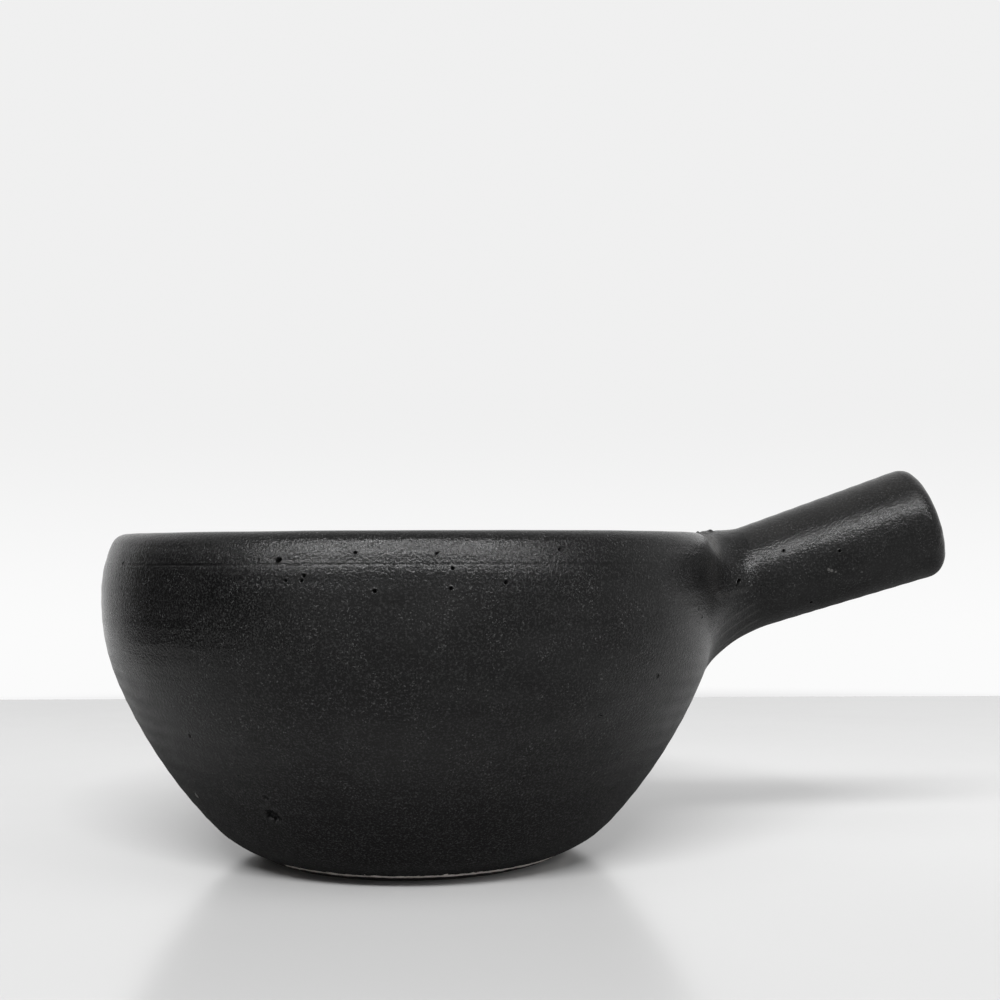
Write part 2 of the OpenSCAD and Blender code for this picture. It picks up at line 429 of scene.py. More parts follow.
def open_pits(piece, pits):
    """Cuts pits into a piece: each has a point on the surface, its outward normal, a radius and a depth."""
    mesh = piece.data
    centres = np.array([pit[0] for pit in pits])
    radii = np.array([pit[2] for pit in pits])
    middles = np.zeros(len(mesh.polygons) * 3)
    mesh.polygons.foreach_get("center", middles)
    middles = middles.reshape(-1, 3) / MM
    near = np.zeros(len(middles), bool)
    for centre, radius in zip(centres, radii):
        near |= np.linalg.norm(middles - centre, axis=1) < PIT_REACH * radius + PIT_MARGIN
    shape = bmesh.new()
    shape.from_mesh(mesh)
    shape.faces.ensure_lookup_table()
    edges = dict.fromkeys(edge for index in np.flatnonzero(near) for edge in shape.faces[index].edges)
    bmesh.ops.subdivide_edges(shape, edges=list(edges), cuts=PIT_CUTS, use_grid_fill=True)
    shape.to_mesh(mesh)
    shape.free()
    points = np.zeros(len(mesh.vertices) * 3)
    mesh.vertices.foreach_get("co", points)
    points = points.reshape(-1, 3) / MM
    marks_and_shade = np.zeros(len(points), np.float32)
    mesh.attributes["glaze_marks_and_shade"].data.foreach_get("value", marks_and_shade)
    ragged = 1 + 0.3 * noise(points, 0.7, seed=5)
    for centre, normal, radius, depth in pits:
        reach = np.linalg.norm(points - centre, axis=1) / radius * ragged
        hollow = smooth(1.0, 0.55, reach)
        lip = bell(reach - 1.25, 0.3)
        lip_height = min(LIP_HEIGHT, LIP_SHARE * depth)
        points -= (depth * hollow - lip_height * lip)[:, None] * normal
        # Hollows are marked for shade painted into them; raised bumps and the lips round pits for paler glaze
        marks_and_shade = np.where(hollow > 0.3, -hollow * np.sign(depth), np.maximum(marks_and_shade, 0.15 * lip))
    mesh.vertices.foreach_set("co", (points * MM).ravel())
    mesh.attributes["glaze_marks_and_shade"].data.foreach_set("value", marks_and_shade.astype(np.float32))
    mesh.update()


def bowl_outside(points, azimuth):
    """Hand-made unevenness of the bowl's outside, in millimetres along the normal."""
    z = points[..., 2]
    warp = 0.06 * np.cos(2 * azimuth + 0.7) + 0.05 * noise(points, 38, seed=1)
    turn = z / BOWL_RING_PITCH + azimuth / FULL_TURN + 0.25 * noise(points, 16, seed=2)
    rings = RING_DEPTH * np.sin(FULL_TURN * turn)
    rib_edge = smooth(*RIB_IN, z + 0.35 * noise(points, 22, seed=3))
    rib_mark = -RIB_DEPTH * rib_edge * smooth(*RIB_OUT, z)
    dents = 0.03 * noise(points, 7, seed=4)
    return warp + rings + rib_mark + dents


def bowl_inside(points, azimuth):
    """Finger rings that climb the inside in a spiral."""
    z = points[..., 2]
    radius = np.hypot(points[..., 0], points[..., 1])
    wall_turn = z / FINGER_PITCH - azimuth / FULL_TURN + 0.2 * noise(points, 20, seed=6)
    floor_turn = radius / FINGER_PITCH + azimuth / FULL_TURN + 0.15 * noise(points, 20, seed=7)
    on_wall = WALL_FINGER_DEPTH * np.sin(FULL_TURN * wall_turn)
    on_wall = on_wall * smooth(24, 34, z) * smooth(88, 80, z)
    on_floor = FLOOR_FINGER_DEPTH * np.sin(FULL_TURN * floor_turn)
    on_floor = on_floor * smooth(24, 17, z) * smooth(2, 12, radius)
    return on_wall + on_floor + 0.06 * noise(points, 9, seed=8)


def make_bowl(glaze, clay):
    """The turned shell: its base, the foot ring's seat, the outside, the rim and the inside."""
    base = straight([BOWL_POLE_R, FOOT_H], [FOOT, FOOT_H], BASE_STEP)
    seat = straight([FOOT, FOOT_H], foot_edge, SEAT_STEP)
    outside = chain(
        arc(foot_turn_c, FOOT_TURN_R, FOOT_FLARE - 90, -lower_turn, OUTER_STEP),
        arc(lower_c, lower_r, -lower_turn, -BELLY_TURN, OUTER_STEP),
        arc(belly_c, BELLY_R, -BELLY_TURN, 0, OUTER_STEP),
        arc(shoulder_c, SHOULDER_R, 0, rim_turn, OUTER_STEP),
        arc(rim_c, RIM_R, rim_turn, 90, RIM_STEP),
    )
    inside = chain(
        arc(inner_rim_c, inner_rim, 90, 180 + inner_rim_turn, RIM_STEP),
        arc(shoulder_c, inner_shoulder_r, inner_rim_turn, 0, INNER_STEP),
        arc(belly_c, BELLY_R - WALL_T, 0, -BELLY_TURN, INNER_STEP),
        arc(lower_c, lower_r - WALL_T, -BELLY_TURN, -corner_turn, INNER_STEP),
        arc(corner_c, CORNER_R, -corner_turn, -90, INNER_STEP),
        straight([corner_c[0], floor_z], [BOWL_POLE_R, floor_z], INNER_STEP),
    )
    shell = chain(outside, inside)
    line = chain(base, seat, shell)
    rows = len(line)
    shell_start = rows - len(shell)
    normals = np.zeros((rows, 2))
    normals[shell_start:] = profile_normals(shell)
    azimuth = ring_angles(BOWL_COLUMNS)
    cos, sin = np.cos(azimuth)[None, :], np.sin(azimuth)[None, :]

    def turned(radius, height):
        radius, height = radius[:, None], height[:, None]
        return np.stack([radius * cos, radius * sin, height * np.ones_like(cos)], axis=-1)

    points = turned(line[:, 0], line[:, 1])
    outward = turned(normals[:, 0], normals[:, 1])
    around = np.broadcast_to(azimuth, points.shape[:2])
    row = np.arange(rows)[:, None]
    crest = shell_start + len(outside) - 1
    is_outside = (row >= shell_start) & (row <= crest)
    # Unevenness comes in above the foot, goes out past the rim and keeps off the coil
    from_foot = smooth(2.0, 7.0, points[..., 2])
    over_rim = smooth(crest + 7, crest, row)
    outer = np.where(row >= shell_start, bowl_outside(points, around), 0) * away_from_coil(points)
    inner = np.where(row > crest, bowl_inside(points, around), 0)
    depth = np.where(is_outside, outer * from_foot, outer * over_rim + inner)
    hold = BELLY_HOLD * bell(points[..., 2] - BELLY_H, BELLY_HOLD_REACH) * away_from_coil(points)
    depth = depth - np.where(is_outside, hold, 0)
    radius = np.hypot(points[..., 0], points[..., 1])
    trimming = TRIM_DEPTH * np.sin(FULL_TURN * radius / TRIM_PITCH + 2 * noise(points, 14, seed=9))
    trimming = trimming * smooth(FOOT - 2, FOOT - 6, radius)
    points = points + depth[..., None] * outward
    points[..., 2] += np.where(row < len(base), trimming, 0)
    # The glaze is thin along the rim, and in the smear round the join, which also paints light over the
    # handle's dark reflection
    marks_and_shade = 0.35 * bell(row - crest - 2, 4) * (1 + 0.6 * noise(points, 6, seed=10))
    marks_and_shade = marks_and_shade + np.where(is_outside, smeared_and_filled(points) * (1 - away_from_coil(points)), 0)

    flat = np.concatenate([points.reshape(-1, 3), [[0, 0, FOOT_H], [0, 0, floor_z]]])
    faces = capped_faces(rows, BOWL_COLUMNS)
    bare = (len(base) + len(seat) - 2) * BOWL_COLUMNS
    slots = np.zeros(len(faces), int)
    slots[:bare] = 1
    slots[(rows - 1) * BOWL_COLUMNS:rows * BOWL_COLUMNS] = 1
    piece = make_piece("bowl_shell", flat, faces, np.append(marks_and_shade, [0, 0]), [glaze, clay], slots)
    open_pits(piece, bowl_pits())
    return piece


def bowl_pits():
    """Points, normals, radii and depths of the pits in the bowl."""
    pits = []
    for angle, height, size, depth in BOWL_PITS + hidden_pits():
        hold = BELLY_HOLD * bell(height - BELLY_H, BELLY_HOLD_REACH)
        reach = outer_radius(np.array(height)) - INSET - hold
        turn = math.radians(angle)
        normal = np.array([math.cos(turn), math.sin(turn), -wall_slope(np.array(height))])
        centre = np.array([reach * math.cos(turn), reach * math.sin(turn), height])
        pits.append((centre, normal / np.linalg.norm(normal), size, depth))
    return pits


def hidden_pits():
    """Pinholes on the sides of the bowl that face away from the camera."""
    draw = np.random.default_rng(HIDDEN_PIT_SEED)
    pits = []
    for _ in range(HIDDEN_PITS):
        size = draw.uniform(*HIDDEN_PIT_R)
        turn = draw.uniform(*HIDDEN_PIT_TURN)
        height = draw.uniform(*HIDDEN_PIT_HEIGHT)
        pits.append((turn, height, size, HIDDEN_PIT_DEPTH * size))
    return tuple(pits)


def make_foot(clay):
    """The turned foot ring with soft, slightly chipped edges."""
    ring_out = FOOT - SEAT_GAP
    ring_in = FOOT - FOOT_W
    corners = [
        (ring_in + FOOT_INNER_BEVEL, 0), (ring_out - FOOT_UNDERCUT, 0), (ring_out, FOOT_LIFT),
        (ring_out, FOOT_H), (ring_in, FOOT_H), (ring_in, FOOT_INNER_BEVEL),
    ]
    sides = [straight(a, b, FOOT_STEP)[:-1] for a, b in zip(corners, corners[1:] + corners[:1])]
    soft = np.concatenate(sides)
    for _ in range(2):
        soft = (np.roll(soft, 1, axis=0) + 2 * soft + np.roll(soft, -1, axis=0)) / 4
    azimuth = ring_angles(BOWL_COLUMNS)
    radius = soft[:, 0][:, None] * np.ones_like(azimuth)
    height = soft[:, 1][:, None] * np.ones_like(azimuth)
    points = np.stack([radius * np.cos(azimuth), radius * np.sin(azimuth), height], axis=-1)
    rough = 0.05 * noise(points, 1.5, seed=21) + 0.05 * noise(points, 5, seed=22) - 0.1
    chips = -CHIP_DEPTH * smooth(0.45, 0.8, noise(points, 4, seed=23)) * bell(height - FOOT_LIFT, 0.6)
    outward = np.where(radius > (ring_in + ring_out) / 2, 1, -1)
    radius = radius + outward * (rough + chips)
    points[..., 0] = radius * np.cos(azimuth)
    points[..., 1] = radius * np.sin(azimuth)
    faces = closed_faces(len(soft), BOWL_COLUMNS)
    # Glaze has run over the bare edge, except along the front and in a few short stretches
    turn = np.degrees(azimuth)
    front = smooth(219, 226, turn) * smooth(352, 340, turn)
    patchy = smooth(0.25, 0.5, noise(points, 17, seed=24))
    bare = np.maximum(front, patchy) * np.ones_like(height)
    return make_piece("foot_ring_clay", points.reshape(-1, 3), faces, (bare - 1).ravel(), [clay])


def make_handle(glaze):
    """The hollow tube: a cap on the wall, a neck under the coil, the skin, the rounded end and the bore."""
    taper = math.atan2(HANDLE_TIP - HANDLE_ROOT, HANDLE_REACH)
    edge_s = HANDLE_REACH - HANDLE_EDGE_R
    edge_c = np.array([tube_radius(edge_s) - HANDLE_EDGE_R / math.cos(taper), edge_s])
    bore_c = np.array([BORE + BORE_EDGE_R, HANDLE_REACH - BORE_EDGE_R])
    tip = edge_c + HANDLE_EDGE_R * direction(-math.degrees(taper))
    tube = straight([tube_radius(COIL_REACH), COIL_REACH], tip, HANDLE_STEP)
    end = chain(
        tube,
        arc(edge_c, HANDLE_EDGE_R, -math.degrees(taper), 90, HANDLE_STEP),
        arc(bore_c, BORE_EDGE_R, 90, 180, BORE_EDGE_STEP),
        straight([BORE, bore_c[1]], [BORE, ROOT_WEB], BORE_STEP),
        straight([BORE, ROOT_WEB], [BORE_POLE_R, ROOT_WEB], WEB_STEP),
    )
    angle = ring_angles(HANDLE_COLUMNS)
    cap = [on_handle(angle, root_place(angle, share), share * tube_radius(root_place(angle, share)))
           for share in np.linspace(0.1, 0.9, CAP_ROWS)]
    root = root_place(angle, 1.0)
    neck_s = [root + (COIL_REACH - root) * t for t in np.linspace(0, 1, NECK_ROWS + 1)[:-1]]
    neck = [on_handle(angle, s, tube_radius(s)) for s in neck_s]
    turn = np.broadcast_to(angle, (len(end), HANDLE_COLUMNS))
    s = np.broadcast_to(end[:, 1:], turn.shape)
    radius = np.broadcast_to(end[:, :1], turn.shape)
    plain = on_handle(turn, s, radius)
    normals = profile_normals(end)
    is_skin = np.arange(len(end))[:, None] < len(tube) + EDGE_ROWS
    ring_turn = s / HANDLE_RING_PITCH + turn / FULL_TURN + 0.3 * noise(plain, 14, seed=31)
    rings = RING_DEPTH * np.sin(FULL_TURN * ring_turn)
    warp = 0.05 * np.cos(2 * turn + 1.1) + 0.05 * noise(plain, 21, seed=32)
    uneven = (0.1 * noise(plain, 2.6, seed=33) - TIP_HOLD) * smooth(60, 65.5, s)
    depth = (rings + warp + uneven) * np.where(is_skin, smooth(COIL_REACH, COIL_REACH + 5, s), 0)
    depth = depth + np.where(is_skin, 0, 0.08 * noise(plain, 5, seed=34) - INSET)
    worked = on_handle(turn, s + depth * normals[:, 1:], radius + depth * normals[:, :1])
    worked = np.minimum(worked, np.array(cad_box[1]) / MM - INSET)
    points = np.concatenate([np.stack(cap), np.stack(neck), worked])
    poles = np.array([
        on_handle(np.zeros(1), root_place(np.zeros(1), 0.0), np.zeros(1))[0],
        root_point + ROOT_WEB * along,
    ])
    # The glaze is thin round the open end, and the top is painted paler as a painted highlight
    marks_and_shade = np.zeros(points.shape[:2])
    worn_end = 0.3 * bell(s - HANDLE_REACH, 1.2) * (1 + 0.7 * noise(plain, 3, seed=35))
    top_sheen = 0.2 * smooth(0.2, 0.8, np.sin(turn)) * (1 + 0.4 * noise(plain, 9, seed=36))
    marks_and_shade[len(cap) + len(neck):] = worn_end + np.where(is_skin, top_sheen, 0)
    flat = np.concatenate([points.reshape(-1, 3), poles])
    faces = capped_faces(len(points), HANDLE_COLUMNS)
    piece = make_piece("handle_tube", flat, faces, np.append(marks_and_shade, [0, 0]), [glaze])
    open_pits(piece, handle_pits())
    return piece


def handle_pits():
    """Points, normals, radii and depths of the pits in the handle."""
    pits = []
    for place, around, size, depth in HANDLE_PITS:
        turn = np.radians(np.array([around]))
        centre = on_handle(turn, np.array([place]), np.array([tube_radius(place)]) - HANDLE_PIT_INSET)[0]
        normal = math.cos(turn[0]) * across + math.sin(turn[0]) * upward
        pits.append((centre, normal, size, depth))
    return pits


# Strokes left in the luting coil by a finger or a tool: angle around the handle at the middle of
# the coil, half width, height, and slant, which is how far the angle goes round from wall to handle
COIL_STROKES = (
    (160, 5.0, -0.06, 12), (172, 4.0, -0.06, 9), (186, 3.0, 0.05, 9),
    (203, 2.4, -0.06, -9), (210, 1.2, 0.11, -9), (216, 1.4, -0.06, -9), (221, 1.1, 0.13, -9),
    (228, 1.6, -0.06, -9), (234, 1.3, 0.11, -9), (246, 4.0, -0.08, -9), (262, 5.0, 0.06, 0),
    (285, 4.0, -0.08, 9), (310, 3.0, 0.12, 9), (322, 2.6, -0.10, 9), (333, 3.0, 0.08, 9),
    (352, 4.0, -0.08, -9), (20, 4.0, 0.08, -9), (48, 3.5, -0.08, -20), (66, 3.0, 0.12, -30),
)
# Short strokes of a brush beside the rim, in the same form
RIM_STROKES = (
    (130, 1.5, 0.16, 80), (134.5, 1.3, 0.20, 80), (139, 1.4, 0.16, 80), (143.5, 1.3, 0.20, 80),
    (148, 1.4, 0.16, 80), (153, 1.6, 0.14, 80), (158, 1.5, 0.10, 80),
)
# Lumps of clay on the coil at the rim: angle, place across the coil, both half widths and height
LUMPS = (
    (90, 0.36, 15, 0.24, 0.35), (94, 0.08, 5, 0.06, 0.75),
    (95, 0.24, 5, 0.06, 0.45), (93, 0.40, 4, 0.05, 0.40),
)
# A short slot pressed into the coil, as a row of small hollows: first and last point, steps between
# them, and the radius and depth of each hollow
SLOT = ((93.1, -17.2, 77.9), (94.0, -16.6, 79.4), 5, 0.42, 1.6)


def make_coil(glaze):
    """The hollow-sided fillet from the wall to the handle, with strokes, lumps and a slot."""
    angle = ring_angles(COIL_COLUMNS)
    lift = np.sin(angle)
    height = HANDLE_H + lift * (HANDLE_ROOT / along[0] + np.where(lift > 0, COIL_UP, COIL_DOWN))
    side = np.cos(angle) * (HANDLE_ROOT + COIL_SIDE)
    # Each curve starts on the wall, ends on the handle and is pulled towards the seam of the two
    low = np.stack([np.sqrt(outer_radius(height) ** 2 - side ** 2), side, height], axis=-1)
    high = on_handle(angle, np.full(angle.shape, COIL_REACH), np.full(angle.shape, tube_radius(COIL_REACH)))
    root = root_place(angle, 1.0)
    seam = on_handle(angle, root, tube_radius(root))
    flat = np.hypot(low[:, 0], low[:, 1])
    out = np.stack([low[:, 0] / flat, low[:, 1] / flat, -wall_slope(height)], axis=-1)
    out /= np.linalg.norm(out, axis=1)[:, None]
    way = seam - low
    reach = np.linalg.norm(way, axis=1)[:, None]
    way = way - np.sum(way * out, axis=1)[:, None] * out
    way /= np.linalg.norm(way, axis=1)[:, None]
    hollow = COIL_HOLLOW + (COIL_TOP_HOLLOW - COIL_HOLLOW) * np.maximum(0, lift) ** COIL_TOP_FOCUS
    low_pull = low + hollow[:, None] * reach * way
    high_pull = high + hollow[:, None] * (seam - high)
    t = np.linspace(0, 1, COIL_ROWS + 1)[:, None, None]
    face = low * (1 - t) ** 3 + 3 * low_pull * t * (1 - t) ** 2
    face = face + 3 * high_pull * t * t * (1 - t) + high * t ** 3
    # Outward normals of the face
    around = np.roll(face, -1, axis=1) - np.roll(face, 1, axis=1)
    up = np.gradient(face, axis=0)
    normal = np.cross(around, up)
    normal /= np.linalg.norm(normal, axis=2)[..., None]
    outward = np.sign(np.sum(normal * (face - seam), axis=2, keepdims=True).mean())
    normal = normal * outward
    # Strokes, lumps and roughness, which go out at the edges of the coil
    part = t[..., 0]
    window = smooth(0, 0.3, part) * smooth(1, 0.72, part)
    drift = np.degrees(angle)[None, :] + 3 * noise(face, 9, seed=41)

    def stroked(table):
        total = np.zeros(face.shape[:2])
        for centre, width, rise, slant in table:
            gap = (drift - centre - slant * (part - 0.5) + 180) % 360 - 180
            total += rise * bell(gap, width) * (1 + 0.5 * noise(face, 5, seed=42))
        return total

    strokes = stroked(COIL_STROKES)
    brushed = smooth(0, 0.04, part) * smooth(0.5, 0.28, part)
    brush = brushed * stroked(RIM_STROKES)
    patch = brushed * smooth(80, 100, drift - 70 * part) * smooth(132, 106, drift - 70 * part)
    rough = 0.05 * noise(face, 2.2, seed=43) + 0.05 * noise(face, 6, seed=44)
    lumps = sum(rise * bell(drift - turn, width) * bell(part - place, length)
                for turn, place, width, length, rise in LUMPS)
    lumps = lumps * smooth(0, 0.08, part) * (1 + 0.5 * noise(face, 1.3, seed=45))
    face = face + (window * (strokes + rough) + brush + lumps)[..., None] * normal
    marks_and_shade = window * np.clip(4 * strokes, 0, 0.8) + 0.16 * patch + np.clip(4 * brush, 0, 0.6)
    # The smear and its painted light reach onto the coil near the wall
    marks_and_shade = marks_and_shade + smeared_and_filled(face) * smooth(0.45, 0.1, part)
    # The hidden side goes back along the handle to the seam and then along the wall
    ways_back = [high + (seam - high) * share for share in np.linspace(0, 1, COIL_TUBE_ROWS + 1)[1:]]
    ways_back += [seam + (low - seam) * share for share in np.linspace(0, 1, COIL_WALL_ROWS + 1)[1:-1]]
    hidden = np.stack(ways_back)
    on_wall = np.arange(len(hidden)) >= COIL_TUBE_ROWS
    wall_y = hidden[on_wall][..., 1]
    hidden[on_wall, :, 0] = np.sqrt(outer_radius(hidden[on_wall][..., 2]) ** 2 - wall_y ** 2)
    points = np.concatenate([face, hidden])
    faces = closed_faces(len(points), COIL_COLUMNS)
    shade = np.zeros(points.shape[:2])
    shade[:len(face)] = marks_and_shade
    piece = make_piece("luting_coil_blend", points.reshape(-1, 3), faces, shade.ravel(), [glaze])
    shape = bmesh.new()
    shape.from_mesh(piece.data)
    bmesh.ops.recalc_face_normals(shape, faces=shape.faces)
    shape.to_mesh(piece.data)
    shape.free()
    open_pits(piece, slot_pits(face.reshape(-1, 3), normal.reshape(-1, 3)))
    return piece


def slot_pits(skin, normals):
    """Points, normals, radii and depths of the hollows that make up the slot."""
    start, end, steps, size, depth = SLOT
    pits = []
    for place in straight(start, end, np.linalg.norm(np.subtract(end, start)) / steps):
        nearest = np.argmin(np.linalg.norm(skin - place, axis=1))
        pits.append((skin[nearest], normals[nearest], size, depth))
    return pits


def feed(tree, socket, value):
    """Gives an input socket a value, or a link from another node."""
    if isinstance(value, bpy.types.NodeSocket):
        tree.links.new(value, socket)
    else:
        socket.default_value = value


def add_node(tree, kind, inputs=None, **settings):
    """A shader node with its settings, its input values and its links."""
    made = tree.nodes.new(kind)
    for name, value in settings.items():
        setattr(made, name, value)
    for name, value in (inputs or {}).items():
        feed(tree, made.inputs[name], value)
    return made


def new_material(name):
    """A material with its node tree, its shader node and the place on the object in metres."""
    material = bpy.data.materials.new(name)
    material.use_nodes = True
    tree = material.node_tree
    shader = tree.nodes["Principled BSDF"]
    place = add_node(tree, "ShaderNodeTexCoord").outputs["Object"]
    return material, tree, shader, place


def noise_at(tree, place, scale, detail=2.0, stretch=(1, 1, 1), roughness=0.5):
    """Heights of a noise texture, stretched along the axes."""
    moved = add_node(tree, "ShaderNodeMapping", {"Vector": place, "Scale": stretch}).outputs["Vector"]
    made = add_node(tree, "ShaderNodeTexNoise",
                    {"Vector": moved, "Scale": scale, "Detail": detail, "Roughness": roughness})
    return made.outputs["Fac"]


def band(tree, value, low, high, start=0.0, end=1.0):
    """A value that goes smoothly from start to end as another goes from low to high."""
    made = add_node(tree, "ShaderNodeMapRange",
                    {"Value": value, "From Min": low, "From Max": high, "To Min": start, "To Max": end},
                    interpolation_type="SMOOTHSTEP")
    return made.outputs["Result"]


def maths(tree, operation, first, second):
    """The result of a calculation with two values."""
    made = add_node(tree, "ShaderNodeMath", operation=operation)
    for socket, value in zip(made.inputs, (first, second)):
        feed(tree, socket, value)
    return made.outputs[0]


# Places of the sockets for colours in a mix node: share, first, second and result
MIX_SHARE = 0
MIX_FIRST = 6
MIX_SECOND = 7
MIX_RESULT = 2


def mix_colours(tree, share, first, second):
    """A colour between two, by a share from 0 to 1."""
    made = add_node(tree, "ShaderNodeMix", data_type="RGBA")
    for index, value in ((MIX_SHARE, share), (MIX_FIRST, first), (MIX_SECOND, second)):
        feed(tree, made.inputs[index], value)
    return made.outputs[MIX_RESULT]


def grey(level, warm=0.0):
    """A nearly neutral colour."""
    return (level * (1 + warm), level, level * (1 - warm), 1.0)


def bumps(tree, layers):
    """Normals from several layers of height: each has a height and its size in metres."""
    normal = None
    for height, size in layers:
        inputs = {"Height": height, "Distance": size, "Strength": 1.0}
        if normal is not None:
            inputs["Normal"] = normal
        normal = add_node(tree, "ShaderNodeBump", inputs).outputs["Normal"]
    return normal


# Colours of the glaze: its clouds, its streaks and the painted shade in its groove, its painted shade near
# the foot, mottle, specks, thin places that also carry painted highlight and fill light, painted shade in
# holes, and the clay where it ends
GLAZE_DARK = grey(0.0026)
GLAZE_LIGHT = grey(0.0072)
GLAZE_STREAK = grey(0.0014)
GLAZE_FOOT_SHADE = grey(0.0006)
GLAZE_MOTTLE = grey(0.021)
GLAZE_SPECK = grey(0.070)
GLAZE_THIN_AND_SHEEN = grey(0.100, 0.03)
GLAZE_HOLE_SHADE = grey(0.0005)
GLAZE_END = grey(0.62, 0.07)
# Heights in metres over which the painted shade and dullness near the foot come in, the groove starts and
# stops, and the glaze ends; and the distance towards the handle over which the groove fades in
FOOT_SHADE_HEIGHTS = (0.046, 0.014)
GROOVE_LOW = (0.0846, 0.0850)
GROOVE_HIGH = (0.0856, 0.0852)
GROOVE_FADE = (0.070, 0.045)
END_LINE = (0.00072, 0.00062)
# Colours of the bare clay: its clouds, grit and grog, and the dark of the painted shade in its undercut
# and of the glaze run over its edge
CLAY_DARK = grey(0.54, 0.08)
CLAY_LIGHT = grey(0.66, 0.06)
CLAY_GRIT = grey(0.42, 0.10)
CLAY_GROG = grey(0.26, 0.15)
CLAY_UNDERCUT_SHADE_AND_GLAZE = grey(0.012, 0.1)


def make_glaze():
    """Satin black glaze: cloudy, finely speckled, pinholed, and gone to bare clay just above the foot."""
    material, tree, shader, place = new_material("black_glaze")
    clouds = noise_at(tree, place, 26, 5, (1, 1, 1.6), 0.6)
    streaks = noise_at(tree, place, 20, 4, (1, 1, 7), 0.55)
    patches = noise_at(tree, place, 140, 3)
    grain = noise_at(tree, place, 2500, 2, roughness=0.6)
    mottle = noise_at(tree, place, 1800, 2, roughness=0.7)
    peel = noise_at(tree, place, 1500, 1)
    lines = noise_at(tree, place, 30, 3, (1, 1, 22), 0.6)
    crystals = noise_at(tree, place, 1900, 1)
    split = add_node(tree, "ShaderNodeSeparateXYZ", {"Vector": place}).outputs
    height = split["Z"]
    normal = add_node(tree, "ShaderNodeTexCoord").outputs["Normal"]
    facing = add_node(tree, "ShaderNodeSeparateXYZ", {"Vector": normal}).outputs["Z"]
    near_foot = band(tree, height, *FOOT_SHADE_HEIGHTS)
    specks = maths(tree, "MULTIPLY", band(tree, crystals, 0.63, 0.72), band(tree, patches, 0.40, 0.60))
    specks = maths(tree, "MULTIPLY", specks, band(tree, near_foot, 0.0, 1.0, 1.0, 0.5))
    holes = add_node(tree, "ShaderNodeTexVoronoi", {"Vector": place, "Scale": 150.0})
    opened = band(tree, holes.outputs["Color"], 0.62, 0.66)
    hole_shade = maths(tree, "MULTIPLY", band(tree, holes.outputs["Distance"], 0.05, 0.03), opened)
    marks_and_shade = add_node(tree, "ShaderNodeAttribute", attribute_name="glaze_marks_and_shade").outputs["Fac"]
    # A shallow groove turned below the rim, which fades out towards the handle
    wavy = maths(tree, "ADD", height, maths(tree, "MULTIPLY", streaks, 0.0008))
    groove = maths(tree, "MULTIPLY", band(tree, wavy, *GROOVE_LOW), band(tree, wavy, *GROOVE_HIGH))
    groove = maths(tree, "MULTIPLY", groove, band(tree, split["X"], *GROOVE_FADE))

    tone = mix_colours(tree, band(tree, clouds, 0.36, 0.66), GLAZE_DARK, GLAZE_LIGHT)
    tone = mix_colours(tree, band(tree, streaks, 0.52, 0.70, 0.0, 0.6), tone, GLAZE_STREAK)
    # Shade is painted into the glaze: it grows darker towards the foot
    tone = mix_colours(tree, maths(tree, "MULTIPLY", near_foot, 0.9), tone, GLAZE_FOOT_SHADE)
    tone = mix_colours(tree, band(tree, mottle, 0.48, 0.66, 0.0, 0.85), tone, GLAZE_MOTTLE)
    tone = mix_colours(tree, band(tree, specks, 0.0, 1.0, 0.0, 0.7), tone, GLAZE_SPECK)
    # The groove is painted darker, as painted shade along it
    tone = mix_colours(tree, maths(tree, "MULTIPLY", groove, 0.8), tone, GLAZE_STREAK)
    # Thin places are paler, and so are the painted highlight on the handle's top and the painted fill light
    # round the join
    tone = mix_colours(tree, band(tree, marks_and_shade, 0.0, 1.0, 0.0, 0.75), tone, GLAZE_THIN_AND_SHEEN)
    # Shade is painted near-black into pinholes and into the hollows of pits and the slot
    hole_shade = maths(tree, "MAXIMUM", hole_shade, band(tree, marks_and_shade, -0.2, -0.8))
    tone = mix_colours(tree, hole_shade, tone, GLAZE_HOLE_SHADE)
    # The glaze ends in a ragged line just above the foot
    ragged = maths(tree, "MULTIPLY", noise_at(tree, place, 480, 3), 0.003)
    over_edge = maths(tree, "SUBTRACT", height, ragged)
    bare = band(tree, over_edge, *END_LINE)
    tone = mix_colours(tree, bare, tone, GLAZE_END)
    tree.links.new(tone, shader.inputs["Base Color"])

    # It is dull where it faces down, and more so near the foot
    dullness = band(tree, grain, 0.3, 0.75, 0.15, 0.23)
    dullness = maths(tree, "ADD", dullness, band(tree, clouds, 0.35, 0.7, 0.05, -0.03))
    dullness = maths(tree, "ADD", dullness, band(tree, facing, -0.12, -0.75, 0.0, 0.5))
    dullness = maths(tree, "ADD", dullness, maths(tree, "MULTIPLY", near_foot, 0.3))
    unglazed = maths(tree, "MAXIMUM", bare, hole_shade)
    tree.links.new(maths(tree, "MAXIMUM", dullness, unglazed), shader.inputs["Roughness"])
    shader.inputs["Specular IOR Level"].default_value = 0.15
    layers = [(lines, 0.00007), (groove, -0.00004), (peel, 0.00013), (grain, 0.00008)]
    tree.links.new(bumps(tree, layers), shader.inputs["Normal"])
    return material


# Radius of the foot ring's outside in millimetres, and the ranges of radius in metres over which the
# painted shade in its undercut and the glaze that has run over its edge come in
RING_OUT = FOOT - SEAT_GAP
UNDERCUT_SHADE_FROM = RING_OUT - FOOT_UNDERCUT - 0.4
UNDERCUT_SHADE_RADII = (UNDERCUT_SHADE_FROM * MM, (UNDERCUT_SHADE_FROM + 0.8) * MM)
RUN_OVER_RADII = ((RING_OUT - 0.5) * MM, (RING_OUT - 0.3) * MM)


